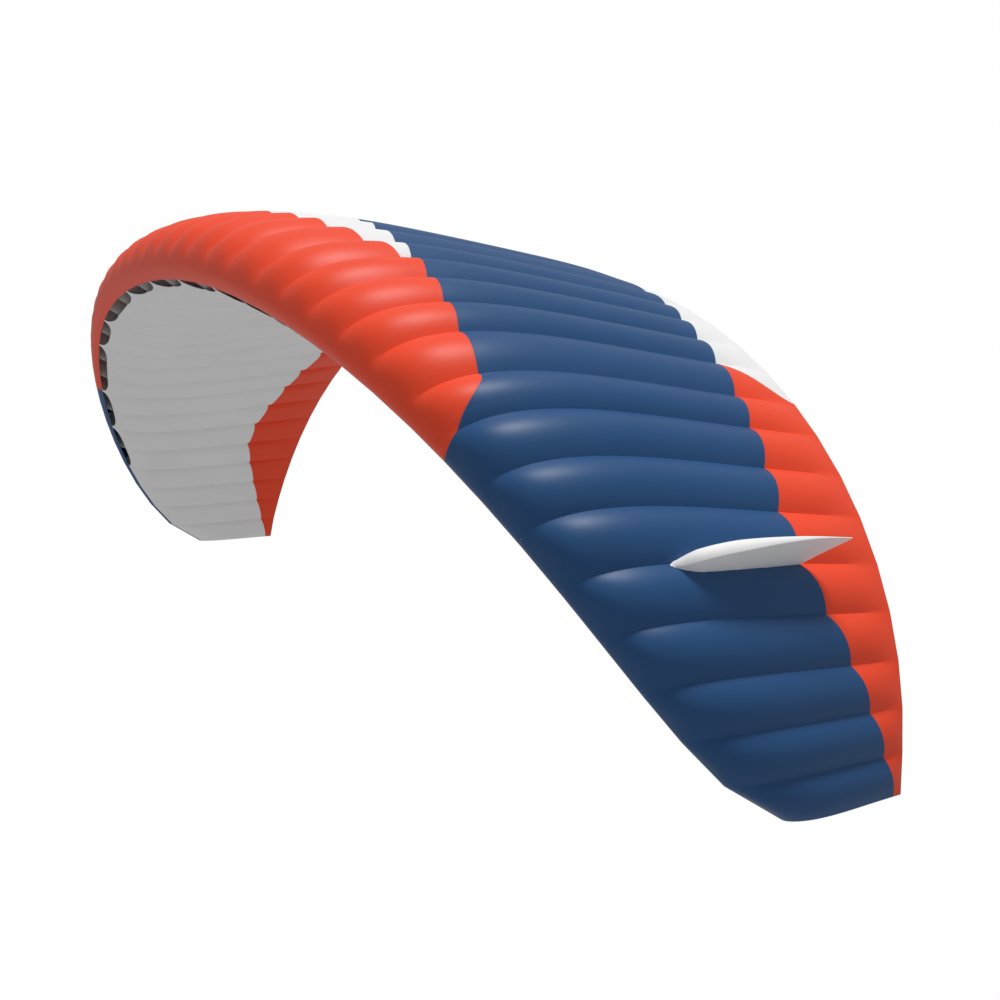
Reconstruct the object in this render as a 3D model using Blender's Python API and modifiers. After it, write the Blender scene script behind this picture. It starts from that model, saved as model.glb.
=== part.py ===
"""Ram-air paraglider wing in its in-flight shape.

Frame: X runs along the span (+X is the pilot's left), the wing flies towards -Y, and +Z is up.
The origin is on the lower sail at the centre rib, where the middle of the main lines would pull.

A rib is numbered from the centre: 0 is the centre rib and 19 the rib that closes a tip.
A span place is written as a rib number with a fraction, so 4.5 is the middle of a cell. The left
half is worked out, and the right half is its mirror image.
A contour place q runs along a rib's outline: -1 is the trailing edge along the lower side,
0 the leading edge and +1 the trailing edge along the upper side; the chord fraction is q squared.
"""
import math

import bmesh
import bpy
import numpy as np
from mathutils import Matrix, Vector

COLLECTION = "paraglider_wing"
CUTTERS = "cutters"

# Cloth
SHEET = 0.0015
GAP = 0.0003
SEAM_GAP = 0.0008
NOSE_SEAM_GAP = 0.0014
NOSE_REACH = 0.72
LIP_SEAM_GAP = 0.0020
LIP_REACH = 0.3
RIB_INSET = 0.0024
TIP_RIB_INSET = 0.0028
TIP_RIBS_FROM = 16
SLANT_POWER = 1.3
LEAST_SLANT = 0.2
TRAILING_HALF = 0.0018
RIB_TAIL_STOP = 0.93
RIB_CORNER_MERGE = 0.006

# Arc: roll of the rib planes, degrees, as an odd power law of the span place (0 centre, 1 tip)
ROLL_DEGREES = {1: 39.0, 3: 28.0, 5: 20.0}

# Planform
CENTRE_CHORD = 2.70
TIP_CHORD = 0.67
CHORD_POWER = 2.33
CHORD_FULLNESS = 0.67
TRAILING_SWEEP = {2: 0.34, 4: 0.12}
TIP_RIB_CHORD = 0.71
TIP_RIB_SETBACK = 1.54
TWIST = {2: 0.035, 4: 0.014}

# Section: Bernstein weights of the upper and lower side, from nose to tail, per metre of chord
UPPER_WEIGHTS = (0.33, 0.265, 0.165, 0.155)
LOWER_WEIGHTS = (0.28, 0.165, 0.135, 0.12)

# Swell of the cloth between two ribs: its share of the cell's width, the chord fraction where it
# starts and the length of chord over which it rises
UPPER_SWELL = {"share": 0.17, "start": 0.0, "rise": 0.03}
LOWER_SWELL = {"share": 0.12, "start": 0.04, "rise": 0.08}
SWELL_WIDTH = 0.29
SWELL_FALL_POWER = 9.0
SEAM_SCALLOP = 0.003
SCALLOP_FADE = 0.06

# One row for each rib, from the tip to the centre. width is the arc width of the cell inboard of
# the rib; rear, nose and wedge are the chord fractions of the seams at that rib.
RIB_COLUMNS = ("width", "rear", "nose", "wedge")
RIB_ROWS = (
    (0.190, 0.920, 0.000, 0.000),
    (0.210, 0.867, 0.000, 0.000),
    (0.220, 0.812, 0.000, 0.000),
    (0.240, 0.766, 0.000, 0.000),
    (0.250, 0.725, 0.000, 0.000),
    (0.275, 0.693, 0.000, 0.000),
    (0.270, 0.706, 0.000, 0.000),
    (0.290, 0.744, 0.000, 0.000),
    (0.270, 0.783, 0.000, 0.000),
    (0.335, 0.815, 0.139, 0.139),
    (0.295, 0.850, 0.184, 0.184),
    (0.310, 0.874, 0.222, 0.222),
    (0.310, 0.907, 0.255, 0.255),
    (0.325, 0.937, 0.262, 0.284),
    (0.410, 0.960, 0.242, 0.312),
    (0.350, 0.978, 0.230, 0.340),
    (0.350, 1.000, 0.222, 0.366),
    (0.350, 1.000, 0.212, 0.385),
    (0.350, 1.000, 0.206, 0.400),
    (0.000, 1.000, 0.204, 0.405),
)
TIP = len(RIB_ROWS) - 1
RIBS = [dict(zip(RIB_COLUMNS, row)) for row in reversed(RIB_ROWS)]

# Ribs, numbered from the centre, where a seam or a panel starts or ends
CENTRE_END = 3
NOSE_END = 11
NOSE_CORNER = 0.155
NOSE_TURN_POWER = 1.9
NOSE_BULGE = 0.115
SPLIT = 10
BAND_TURN = 9
LOWER_TURN = 8
WEDGE_END = 6
WHITE_BAND_START = 3

# Air intakes: mouths between the ribs of this list, under the nose
NOSE_LIP = -0.148
MOUTH_RIBS = (1, 3, 6, 8, 11, 13, 15)
MOUTH_DEPTH = 0.026
MOUTH_LAND = 0.05
MOUTH_CORNER = 0.8

# Winglet on the upper sail over a rib near each tip
WINGLET_RIB = 14
WINGLET_COLUMNS = ("fraction", "foot", "crease", "crown", "aside", "foot_half", "crease_half")
WINGLET_ROWS = (
    # chord fraction; heights of the foot, the crease and the crown; sideways place; half widths
    (0.252, -0.030, -0.003, -0.002, 0.008, 0.008, 0.005),
    (0.290, -0.030, 0.064, 0.072, 0.013, 0.033, 0.026),
    (0.307, -0.030, 0.090, 0.099, 0.014, 0.039, 0.030),
    (0.330, -0.030, 0.114, 0.123, 0.014, 0.044, 0.031),
    (0.366, -0.030, 0.141, 0.149, 0.013, 0.047, 0.031),
    (0.420, -0.030, 0.171, 0.178, 0.011, 0.044, 0.030),
    (0.550, -0.030, 0.221, 0.225, 0.007, 0.028, 0.017),
    (0.620, -0.030, 0.239, 0.241, 0.005, 0.017, 0.010),
    (0.730, 0.100, 0.246, 0.247, 0.001, 0.004, 0.003),
    (0.788, 0.236, 0.246, 0.247, 0.000, 0.002, 0.002),
)
WINGLET_SHOULDER = 0.7
WINGLET_LIFT = 0.0005
WINGLET_BED_DEPTH = 0.06
WINGLET_BED_ROWS = (4, 3)

# Small moves used to measure slopes on the sail
SPAN_NUDGE = 0.04
CONTOUR_NUDGE = 0.002

# Columns across a cell, and how far a panel that runs to a point stops short of it, in cells
ARC_STEPS = 280
UPPER_STEPS = 3
LOWER_STEPS = 2
END_TRIM = 0.05
WEDGE_STEP = 0.03
MIRROR_MERGE = 0.0001
CORNER_MERGE = 0.00001

CLOTH_ROUGHNESS = 0.45
NAVY = (0.030, 0.082, 0.220, 1.0)
RED = (0.870, 0.080, 0.030, 1.0)
WHITE = (0.860, 0.860, 0.870, 1.0)


def power_law(law, place):
    return sum(factor * place ** power for power, factor in law.items())


def rib_arcs():
    """Arc length from the centre to each rib of one side."""
    widths = [rib["width"] for rib in RIBS]
    return np.concatenate([[0.0], np.cumsum(widths[1:])])


RIB_ARC = rib_arcs()
HALF_SPAN = float(RIB_ARC[-1])


def arc_points(steps):
    """Outward and upward places along one half of the arc, by adding up short chords."""
    places = np.linspace(0.0, 1.0, steps + 1)
    middles = 0.5 * (places[1:] + places[:-1])
    roll = np.radians([power_law(ROLL_DEGREES, place) for place in middles])
    step = HALF_SPAN / steps
    out = np.concatenate([[0.0], np.cumsum(np.cos(roll)) * step])
    up = np.concatenate([[0.0], -np.cumsum(np.sin(roll)) * step])
    return places * HALF_SPAN, out, up


ARC_TABLE = arc_points(ARC_STEPS)


def rib_frame(rib):
    """Place, roll, chord, leading edge and twist of a whole-numbered rib."""
    arc = RIB_ARC[rib]
    place = arc / HALF_SPAN
    chord = TIP_CHORD + (CENTRE_CHORD - TIP_CHORD) * (1.0 - place ** CHORD_POWER) ** CHORD_FULLNESS
    setback = CENTRE_CHORD - power_law(TRAILING_SWEEP, place) - chord
    if rib == TIP:
        chord = TIP_RIB_CHORD
        setback = TIP_RIB_SETBACK
    return {
        "out": float(np.interp(arc, ARC_TABLE[0], ARC_TABLE[1])),
        "up": float(np.interp(arc, ARC_TABLE[0], ARC_TABLE[2])),
        "roll": math.radians(power_law(ROLL_DEGREES, place)),
        "chord": chord,
        "setback": setback,
        "twist": power_law(TWIST, place),
    }


FRAMES = [rib_frame(rib) for rib in range(TIP + 1)]


def bernstein(weights, fraction):
    """A cubic Bernstein sum: the smooth weight that shapes one side of the section."""
    rest = 1.0 - fraction
    terms = (rest ** 3, 3 * fraction * rest ** 2, 3 * fraction ** 2 * rest, fraction ** 3)
    return sum(weight * term for weight, term in zip(weights, terms))


def rib_outline(rib, q):
    """Aft and outward place of a contour point in the rib's own plane."""
    frame = FRAMES[rib]
    side = 1.0 if q >= 0 else -1.0
    weights = UPPER_WEIGHTS if q >= 0 else LOWER_WEIGHTS
    fraction = q * q
    chord = frame["chord"]
    rise = abs(q) * (1.0 - fraction) * bernstein(weights, fraction) * chord + TRAILING_HALF * fraction
    aft = frame["setback"] + fraction * chord * math.cos(frame["twist"])
    outward = side * rise - (fraction - 0.5) * chord * math.sin(frame["twist"])
    return aft, outward


def rib_place(rib, aft, outward):
    """World place of a point in a rib's plane, before the origin is moved."""
    frame = FRAMES[rib]
    across = frame["out"] + outward * math.sin(frame["roll"])
    up = frame["up"] + outward * math.cos(frame["roll"])
    return Vector((across, aft, up))


HANG_Q = -0.5
HANG_POINT = rib_place(0, *rib_outline(0, HANG_Q))


def swell_height(swell, width, fraction):
    """Swell in the middle of a cell: it grows behind the nose and fades before the tail."""
    rise = math.tanh(max(fraction - swell["start"], 0.0) / swell["rise"])
    return swell["share"] * min(width, SWELL_WIDTH) * rise * (1.0 - fraction ** SWELL_FALL_POWER)


def split_place(place):
    """The rib below a span place, and the fraction of the cell above it."""
    rib = min(max(math.floor(place + 1e-9), 0), TIP - 1)
    return rib, min(max(place - rib, 0.0), 1.0)


def cell_width(rib):
    """Arc width of the cell between this rib and the next higher one."""
    return RIB_ARC[rib + 1] - RIB_ARC[rib]


def cell_normal(rib, across, q):
    """Outward direction of a cell at a fraction across it, square to the section."""
    aft_before, out_before = rib_outline(rib, max(q - CONTOUR_NUDGE, -1.0))
    aft_after, out_after = rib_outline(rib, min(q + CONTOUR_NUDGE, 1.0))
    run, rise = aft_after - aft_before, out_after - out_before
    roll = (1 - across) * FRAMES[rib]["roll"] + across * FRAMES[rib + 1]["roll"]
    return Vector((run * math.sin(roll), -rise, run * math.cos(roll))).normalized()


def sail_point(place, q, lift=0.0):
    """A point of the sail's outer face, in the part's frame."""
    rib, across = split_place(place)
    first = rib_place(rib, *rib_outline(rib, q))
    last = rib_place(rib + 1, *rib_outline(rib + 1, q))
    height = swell_height(UPPER_SWELL if q >= 0 else LOWER_SWELL, cell_width(rib), q * q)
    swell = height * 4.0 * across * (1.0 - across)
    return first.lerp(last, across) + cell_normal(rib, across, q) * (swell + lift) - HANG_POINT


def seam_fraction(column, place):
    """Chord fraction of a seam, from its value at the two ribs and a scallop between them.

    The scallop fades where the seam runs out to the tail.
    """
    rib, across = split_place(place)
    first = RIBS[rib][column]
    last = RIBS[rib + 1][column]
    fraction = (1 - across) * first + across * last
    scallop = SEAM_SCALLOP * min((1.0 - fraction) / SCALLOP_FADE, 1.0)
    return fraction + scallop * 4.0 * across * (1.0 - across)


def q_nose(place):
    """Upper seam behind the red nose: it steps back past the wedge, and bends forward in its last cell."""
    beyond = place - (NOSE_END - 1)
    if beyond <= 0:
        step = min(max((place - WEDGE_END) / WEDGE_STEP, 0.0), 1.0)
        return math.sqrt((1 - step) * seam_fraction("nose", place) + step * seam_fraction("wedge", place))
    inner = math.sqrt(RIBS[NOSE_END - 1]["nose"])
    return inner + min(beyond, 1.0) ** NOSE_TURN_POWER * (NOSE_CORNER - inner)


def q_wedge(place):
    """Front seam of the navy panels: behind the wedge, then behind the nose's last cell."""
    return math.sqrt(seam_fraction("wedge", place)) if place < NOSE_END - 1 else q_nose(place)


def q_rear(place):
    return math.sqrt(seam_fraction("rear", place))


def turn_share(place, turn):
    """0 at the outer rib of the cell where a trailing band changes colour, 1 at its inner rib."""
    return min(max(turn + 1 - place, 0.0), 1.0)


def q_band_turn(place):
    """Seam between the red and the white trailing band: from the tail to the rear seam."""
    return 1.0 + turn_share(place, BAND_TURN) * (q_rear(place) - 1.0)


def q_lower_rear(place):
    """Lower seam before the red trailing zone, which runs out to the tail in the turning cell."""
    share = turn_share(place, LOWER_TURN)
    return -(q_rear(place) + share * (1.0 - q_rear(place)))


def mouth_fraction(place):
    """Chord fraction of the lower sail's front edge: the nose lip, or a rounded mouth edge."""
    closed = NOSE_LIP ** 2
    if place >= MOUTH_RIBS[-1]:
        return closed
    nearest = min(abs(place - rib) for rib in MOUTH_RIBS)
    inward = 1.0 - min(max(nearest - MOUTH_LAND, 0.0) / MOUTH_CORNER, 1.0)
    return closed + MOUTH_DEPTH * math.sqrt(1.0 - inward ** 2)


def q_lower_front(place):
    return -math.sqrt(mouth_fraction(place))


def shift_along(place, q, distance):
    """Move a contour place by a real distance along the cloth."""
    low = max(q - CONTOUR_NUDGE, -1.0)
    high = min(q + CONTOUR_NUDGE, 1.0)
    rate = (sail_point(place, high) - sail_point(place, low)).length / (high - low)
    return min(max(q + distance / rate, -1.0), 1.0)


def seam_room(place, limit):
    """Half a seam's gap, as a distance along the contour.

    It is wider where the sail is curved, because the sheets' inner edges lean together there,
    and wider again where the seam runs across the contour at a slant.
    """
    q = limit(place)
    if abs(q) >= 1.0:
        return 0.0
    gap = NOSE_SEAM_GAP if abs(q) < NOSE_REACH else SEAM_GAP
    half = (LIP_SEAM_GAP if abs(q) < LIP_REACH else gap) / 2
    before = max(place - SPAN_NUDGE, 0.0)
    after = min(place + SPAN_NUDGE, TIP)
    seam = (sail_point(after, limit(after)) - sail_point(before, limit(before))).normalized()
    contour = (sail_point(place, q + CONTOUR_NUDGE) - sail_point(place, q - CONTOUR_NUDGE)).normalized()
    return half / max(seam.cross(contour).length, LEAST_SLANT)


def contour_steps(place, limits, rows):
    """Contour places of a panel's rows at one span place, clear of its neighbours by half a gap.

    The limits are the panel's two edges and any row between them that must meet a seam beside it;
    rows gives the number of rows from each limit to the next.
    """
    knots = [limit(place) for limit in limits]
    knots[0] = shift_along(place, knots[0], seam_room(place, limits[0]))
    knots[-1] = shift_along(place, knots[-1], -seam_room(place, limits[-1]))
    steps = [knots[0]]
    for first, last, count in zip(knots, knots[1:], rows):
        steps += [first + (last - first) * row / count for row in range(1, count + 1)]
    return steps


def span_steps(start, end, steps, extra=()):
    """Span places of a panel's columns: its two ends, every step of each cell, and extra ones."""
    inner = [number / steps for number in range(TIP * steps + 1)] + list(extra)
    places = [place for place in sorted(inner) if start + 1e-3 < place < end - 1e-3]
    return [start] + places + [end]


def lip(_place):
    return NOSE_LIP


def tail(_place):
    return 1.0


def lower_tail(_place):
    return -1.0


def corner_row(_place):
    """The row of an outer top panel that goes on from the nose's outer corner."""
    return NOSE_CORNER


def q_white_front(place):
    """Front edge of the white trailing band: the rear seam, then the turning seam."""
    return q_band_turn(place) if place > BAND_TURN else q_rear(place)


# Span places where a panel steps or ends just short of a point, shared by the panels beside it
POINTED_TOP = (WHITE_BAND_START + END_TRIM, WEDGE_END + WEDGE_STEP, BAND_TURN + END_TRIM, SPLIT - END_TRIM)
POINTED_BOTTOM = (LOWER_TURN + END_TRIM,)

# Panels. start and end are span places; limits are contour places, from the lower edge to the upper
# one; rows run along the contour between them and steps across a cell; trims marks an end that
# runs to a point.
PANEL_COLUMNS = ("name", "start", "end", "limits", "rows", "steps", "colour", "trims")
PANEL_ROWS = (
    ("nose_centre", 0, CENTRE_END, (lip, q_nose), (4,), UPPER_STEPS, RED, (False, False)),
    ("nose", CENTRE_END, NOSE_END, (lip, q_nose), (4,), UPPER_STEPS, RED, (False, False)),
    ("nose_wedge", 0, WEDGE_END, (q_nose, q_wedge), (1,), UPPER_STEPS, WHITE, (False, False)),
    ("top_centre", 0, NOSE_END, (q_wedge, q_rear), (3,), UPPER_STEPS, NAVY, (False, False)),
    ("bottom_centre", 0, CENTRE_END, (q_lower_rear, q_lower_front), (4,), LOWER_STEPS, WHITE, (False, False)),
    ("bottom_mid", CENTRE_END, SPLIT, (q_lower_rear, q_lower_front), (4,), LOWER_STEPS, WHITE, (False, False)),
    ("top", NOSE_END, TIP, (lip, corner_row, q_rear), (4, 3), UPPER_STEPS, NAVY, (False, False)),
    ("tail_white", WHITE_BAND_START, SPLIT, (q_white_front, tail), (1,), UPPER_STEPS, WHITE, (True, True)),
    ("tail_red", BAND_TURN, TIP, (q_rear, q_band_turn), (1,), UPPER_STEPS, RED, (True, False)),
    ("bottom_tip", SPLIT, TIP, (q_lower_rear, q_lower_front), (4,), LOWER_STEPS, WHITE, (False, False)),
    ("bottom_tail_red", LOWER_TURN, TIP, (lower_tail, q_lower_rear), (1,), LOWER_STEPS, RED, (True, False)),
)
PANELS = [dict(zip(PANEL_COLUMNS, row)) for row in PANEL_ROWS]


def clear_scene():
    for item in list(bpy.data.objects):
        bpy.data.objects.remove(item, do_unlink=True)


def make_collection(name):
    collection = bpy.data.collections.new(name)
    bpy.context.scene.collection.children.link(collection)
    return collection


def cloth_material(name, colour):
    material = bpy.data.materials.new(name)
    material.use_nodes = True
    shader = material.node_tree.nodes["Principled BSDF"]
    shader.inputs["Base Color"].default_value = colour
    shader.inputs["Roughness"].default_value = CLOTH_ROUGHNESS
    return material


def add_object(builder, name, colour, collection):
    """Turn a bmesh into a named object with its own material."""
    mesh = bpy.data.meshes.new(name)
    builder.to_mesh(mesh)
    builder.free()
    mesh.materials.append(cloth_material(name, colour))
    thing = bpy.data.objects.new(name, mesh)
    collection.objects.link(thing)
    return thing


def add_sheet_thickness(thing, thickness=SHEET, offset=-1.0):
    sheet = thing.modifiers.new("Sheet", "SOLIDIFY")
    sheet.thickness = thickness
    sheet.offset = offset
    sheet.use_even_offset = True


def nose_bulge(q):
    """How far the nose's outer edge bows past its last rib, in cells."""
    share = (NOSE_CORNER - q) / (NOSE_CORNER - NOSE_LIP)
    return NOSE_BULGE * math.sin(math.pi * min(max(share, 0.0), 1.0))


def panel_grid(places, limits, counts, lift=0.0, bowed=None):
    """A grid laid over the sail, with a column at each span place and its rows along the contour.

    The column numbered bowed follows the bow of the nose's outer edge.
    """
    contours = [contour_steps(place, limits, counts) for place in places]
    rows = sum(counts)
    builder = bmesh.new()
    columns = len(places) - 1
    bmesh.ops.create_grid(builder, x_segments=columns, y_segments=rows, size=1.0)
    for vertex in builder.verts:
        column = round((vertex.co.x + 1.0) / 2.0 * columns)
        row = round((vertex.co.y + 1.0) / 2.0 * rows)
        q = contours[column][row]
        bow = nose_bulge(q) if column == bowed else 0.0
        vertex.co = sail_point(places[column] + bow, q, lift)
    bmesh.ops.remove_doubles(builder, verts=builder.verts, dist=CORNER_MERGE)
    bmesh.ops.triangulate(builder, faces=builder.faces[:], quad_method="FIXED")
    return builder


def panel_ends(panel):
    """A panel's span, less half a gap at an end, or less the trim where it runs to a point."""
    start, end = panel["start"], panel["end"]
    trim_start, trim_end = panel["trims"]
    if start > 0:
        start += END_TRIM if trim_start else SEAM_GAP / 2 / cell_width(panel["start"])
    end -= END_TRIM if trim_end else SEAM_GAP / 2 / cell_width(panel["end"] - 1)
    return start, end


def mirrored(builder):
    """The right-hand copy of a left-hand shape."""
    copy = builder.copy()
    bmesh.ops.transform(copy, matrix=Matrix.Scale(-1.0, 4, (1.0, 0.0, 0.0)), verts=copy.verts)
    bmesh.ops.reverse_faces(copy, faces=copy.faces)
    return copy


def make_sails(collection):
    """The panels of the upper and lower sail: one across the centre, or one on each side."""
    for panel in PANELS:
        extra = POINTED_TOP if panel["steps"] == UPPER_STEPS else POINTED_BOTTOM
        places = span_steps(*panel_ends(panel), panel["steps"], extra)
        bowed = 0 if panel["start"] == NOSE_END else None
        if panel["name"] == "nose":
            places.append(places[-1])
            bowed = len(places) - 1
        grid = panel_grid(places, panel["limits"], panel["rows"], bowed=bowed)
        if panel["start"] > 0:
            right = add_object(mirrored(grid), panel["name"] + "_right", panel["colour"], collection)
            add_sheet_thickness(right)
            left = add_object(grid, panel["name"] + "_left", panel["colour"], collection)
            add_sheet_thickness(left)
            continue
        whole = add_object(grid, panel["name"], panel["colour"], collection)
        halves = whole.modifiers.new("Halves", "MIRROR")
        halves.merge_threshold = MIRROR_MERGE
        add_sheet_thickness(whole)


def rib_contour_places(rib):
    """Contour places where the panels over a rib have their rows, from tail to tail."""
    places = []
    for panel in PANELS:
        repeated = rib == panel["start"] > 0 and not panel["trims"][0]
        if panel["start"] <= rib <= panel["end"] and not repeated:
            places += contour_steps(rib, panel["limits"], panel["rows"])
    merged = []
    for q in sorted(places):
        if not merged or q - merged[-1] > RIB_CORNER_MERGE:
            merged.append(q)
    return merged


def across_rib(rib):
    """Direction square to a rib's plane, towards the tip."""
    roll = FRAMES[rib]["roll"]
    return Vector((math.cos(roll), 0.0, -math.sin(roll)))


def slant(rib, q):
    """How much thicker the sail is when it is cut by a rib's plane than across itself."""
    q = min(max(q, -1.0 + CONTOUR_NUDGE), 1.0 - CONTOUR_NUDGE)
    contour = sail_point(rib, q + CONTOUR_NUDGE) - sail_point(rib, q - CONTOUR_NUDGE)
    flat = contour.cross(across_rib(rib)).normalized()
    least = 1.0
    for place in (rib - SPAN_NUDGE, rib + SPAN_NUDGE):
        if 0.0 <= place <= TIP:
            span = (sail_point(place, q) - sail_point(rib, q)) * (place - rib)
            least = min(least, abs(contour.cross(span).normalized().dot(flat)))
    return 1.0 / max(least, LEAST_SLANT)


def rib_inset(rib, q):
    """How far a rib's edge stays inside the sail: more where the sail leans or kinks over it."""
    base = TIP_RIB_INSET if rib >= TIP_RIBS_FROM else RIB_INSET
    return base * slant(rib, q) ** SLANT_POWER


def inset_outline(points, insets):
    """Move each corner of an open outline inwards by its own distance from both its sides."""
    moved = []
    for index, point in enumerate(points):
        before = points[max(index - 1, 0)]
        after = points[min(index + 1, len(points) - 1)]
        first = (point - before).normalized() if index else (after - point).normalized()
        last = (after - point).normalized() if index < len(points) - 1 else first
        inward = Vector((first.y + last.y, -(first.x + last.x), 0.0)).normalized()
        corner = max(first.dot(last), -0.5)
        moved.append(point + inward * insets[index] / math.sqrt((1.0 + corner) / 2.0))
    return moved


def make_rib(rib, collection):
    """A flat rib: the contour under the panels, drawn in by the cloth and a gap."""
    places = rib_contour_places(rib)
    outline = [Vector((*rib_outline(rib, q), 0.0)) for q in places]
    outline[0] = outline[1].lerp(outline[0], RIB_TAIL_STOP)
    outline[-1] = outline[-2].lerp(outline[-1], RIB_TAIL_STOP)
    inset = inset_outline(outline, [rib_inset(rib, q) for q in places])
    builder = bmesh.new()
    tuck = across_rib(rib) * (SHEET / 2 + GAP if rib == TIP else 0.0)
    corners = [builder.verts.new(rib_place(rib, point.x, point.y) - HANG_POINT - tuck) for point in inset]
    builder.faces.new(corners)
    if rib > 0:
        right = add_object(mirrored(builder), f"rib_right_{rib:02d}", WHITE, collection)
        add_sheet_thickness(right, SHEET, 0.0)
    left = add_object(builder, f"rib_left_{rib:02d}" if rib > 0 else "rib_centre", WHITE, collection)
    add_sheet_thickness(left, SHEET, 0.0)


def winglet_ring(row):
    """Sideways place and height round one station: up one side, over the crown and down the other."""
    half, crease = row["crease_half"], row["crease"]
    shoulder = crease + WINGLET_SHOULDER * (row["crown"] - crease)
    side = ((row["foot_half"], row["foot"]), (half, crease), (half / 2, shoulder))
    other = [(-across, height) for across, height in reversed(side)]
    return [(row["aside"] + across, height) for across, height in (*side, (0.0, row["crown"]), *other)]


def winglet_body():
    """A filled fin over a rib near the left tip, whose root is still to be cut to the sail."""
    builder = bmesh.new()
    rings = []
    for values in WINGLET_ROWS:
        row = dict(zip(WINGLET_COLUMNS, values))
        aft, outward = rib_outline(WINGLET_RIB, math.sqrt(row["fraction"]))
        ring = []
        for sideways, height in winglet_ring(row):
            spot = rib_place(WINGLET_RIB, aft, outward + height) - HANG_POINT
            ring.append(builder.verts.new(spot + across_rib(WINGLET_RIB) * sideways))
        rings.append(ring)
    for before, after in zip(rings, rings[1:]):
        for index, corner in enumerate(before):
            following = (index + 1) % len(before)
            builder.faces.new((corner, before[following], after[following], after[index]))
    builder.faces.new(reversed(rings[0]))
    builder.faces.new(rings[-1])
    bmesh.ops.recalc_face_normals(builder, faces=builder.faces)
    return builder


def winglet_bed():
    """The sail's outer face round the winglet's root, raised by the gap under it."""
    places = span_steps(WINGLET_RIB - 1, WINGLET_RIB + 1, UPPER_STEPS)
    return panel_grid(places, (lip, corner_row, q_rear), WINGLET_BED_ROWS, WINGLET_LIFT)


def make_winglets(collection, cutters):
    body = winglet_body()
    bed = winglet_bed()
    for side, shape, root in (("right", mirrored(body), mirrored(bed)), ("left", body, bed)):
        winglet = add_object(shape, f"winglet_{side}", WHITE, collection)
        cutter = add_object(root, f"winglet_bed_{side}", WHITE, cutters)
        add_sheet_thickness(cutter, WINGLET_BED_DEPTH)
        cutter.hide_render = True
        cutter.display_type = "WIRE"
        cut = winglet.modifiers.new("Root", "BOOLEAN")
        cut.operation = "DIFFERENCE"
        cut.object = cutter


def build_wing():
    clear_scene()
    parts = make_collection(COLLECTION)
    cutters = make_collection(CUTTERS)
    make_sails(parts)
    for rib in range(TIP + 1):
        make_rib(rib, parts)
    make_winglets(parts, cutters)


build_wing()
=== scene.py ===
"""Looks of the ram-air wing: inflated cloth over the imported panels, its ribs and its winglets."""
import math

import bmesh
import bpy
import numpy as np
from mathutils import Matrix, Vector


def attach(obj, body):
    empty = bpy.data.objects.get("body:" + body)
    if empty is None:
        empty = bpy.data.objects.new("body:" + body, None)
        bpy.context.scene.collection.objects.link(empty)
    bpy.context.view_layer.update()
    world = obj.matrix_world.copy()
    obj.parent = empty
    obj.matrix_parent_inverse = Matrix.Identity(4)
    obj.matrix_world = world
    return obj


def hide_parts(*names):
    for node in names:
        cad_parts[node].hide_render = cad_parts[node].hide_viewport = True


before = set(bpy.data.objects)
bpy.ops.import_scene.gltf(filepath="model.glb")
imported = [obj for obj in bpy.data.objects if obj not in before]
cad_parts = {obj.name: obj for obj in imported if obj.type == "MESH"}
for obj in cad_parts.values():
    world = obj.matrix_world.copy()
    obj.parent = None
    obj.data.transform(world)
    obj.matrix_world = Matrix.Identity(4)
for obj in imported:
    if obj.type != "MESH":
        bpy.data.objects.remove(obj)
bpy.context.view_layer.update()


# Camera, floor and light. The camera stands off the left wing tip, ahead of the wing's middle and
# level with its sails. The floor is plain, far below the wing, and the camera sees it and the sky
# as white. One broad light stands almost straight overhead.

CAMERA_PLACE = (9.545, -3.152, -0.079)
CAMERA_TURN = (82.684, 0.035, 62.529)
SENSOR_WIDTH = 36.0
FOCAL_LENGTH = 53.77
FARTHEST_SEEN = 400.0

camera_data = bpy.data.cameras.new("camera")
camera_data.sensor_width = SENSOR_WIDTH
camera_data.lens = FOCAL_LENGTH
camera_data.clip_end = FARTHEST_SEEN
camera = bpy.data.objects.new("camera", camera_data)
camera.location = CAMERA_PLACE
camera.rotation_euler = [math.radians(angle) for angle in CAMERA_TURN]
bpy.context.scene.collection.objects.link(camera)
bpy.context.scene.camera = camera
bpy.context.scene.view_settings.view_transform = "Standard"

FLOOR_HEIGHT = -14.0
FLOOR_HALF_SIDE = 200.0
FLOOR_GREY = 0.405
WHITE_LIGHT = (1.0, 1.0, 1.0, 1.0)
BACKDROP_STRENGTH = 1.0
SKY_STRENGTH = 0.36


def camera_ray_mix(nodes, links, seen, felt):
    """Mix two shaders: one that the camera sees and one that lights the object."""
    ray = nodes.new("ShaderNodeLightPath")
    mix = nodes.new("ShaderNodeMixShader")
    links.new(ray.outputs["Is Camera Ray"], mix.inputs["Fac"])
    links.new(felt, mix.inputs[1])
    links.new(seen, mix.inputs[2])
    return mix.outputs["Shader"]


world = bpy.data.worlds.new("studio")
world.use_nodes = True
bpy.context.scene.world = world
world_nodes = world.node_tree.nodes
world_links = world.node_tree.links
sky = world_nodes["Background"]
sky.inputs["Color"].default_value = WHITE_LIGHT
sky.inputs["Strength"].default_value = SKY_STRENGTH
backdrop = world_nodes.new("ShaderNodeBackground")
backdrop.inputs["Color"].default_value = WHITE_LIGHT
backdrop.inputs["Strength"].default_value = BACKDROP_STRENGTH
world_mix = camera_ray_mix(
    world_nodes, world_links, backdrop.outputs["Background"], sky.outputs["Background"])
world_links.new(world_mix, world_nodes["World Output"].inputs["Surface"])

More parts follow.
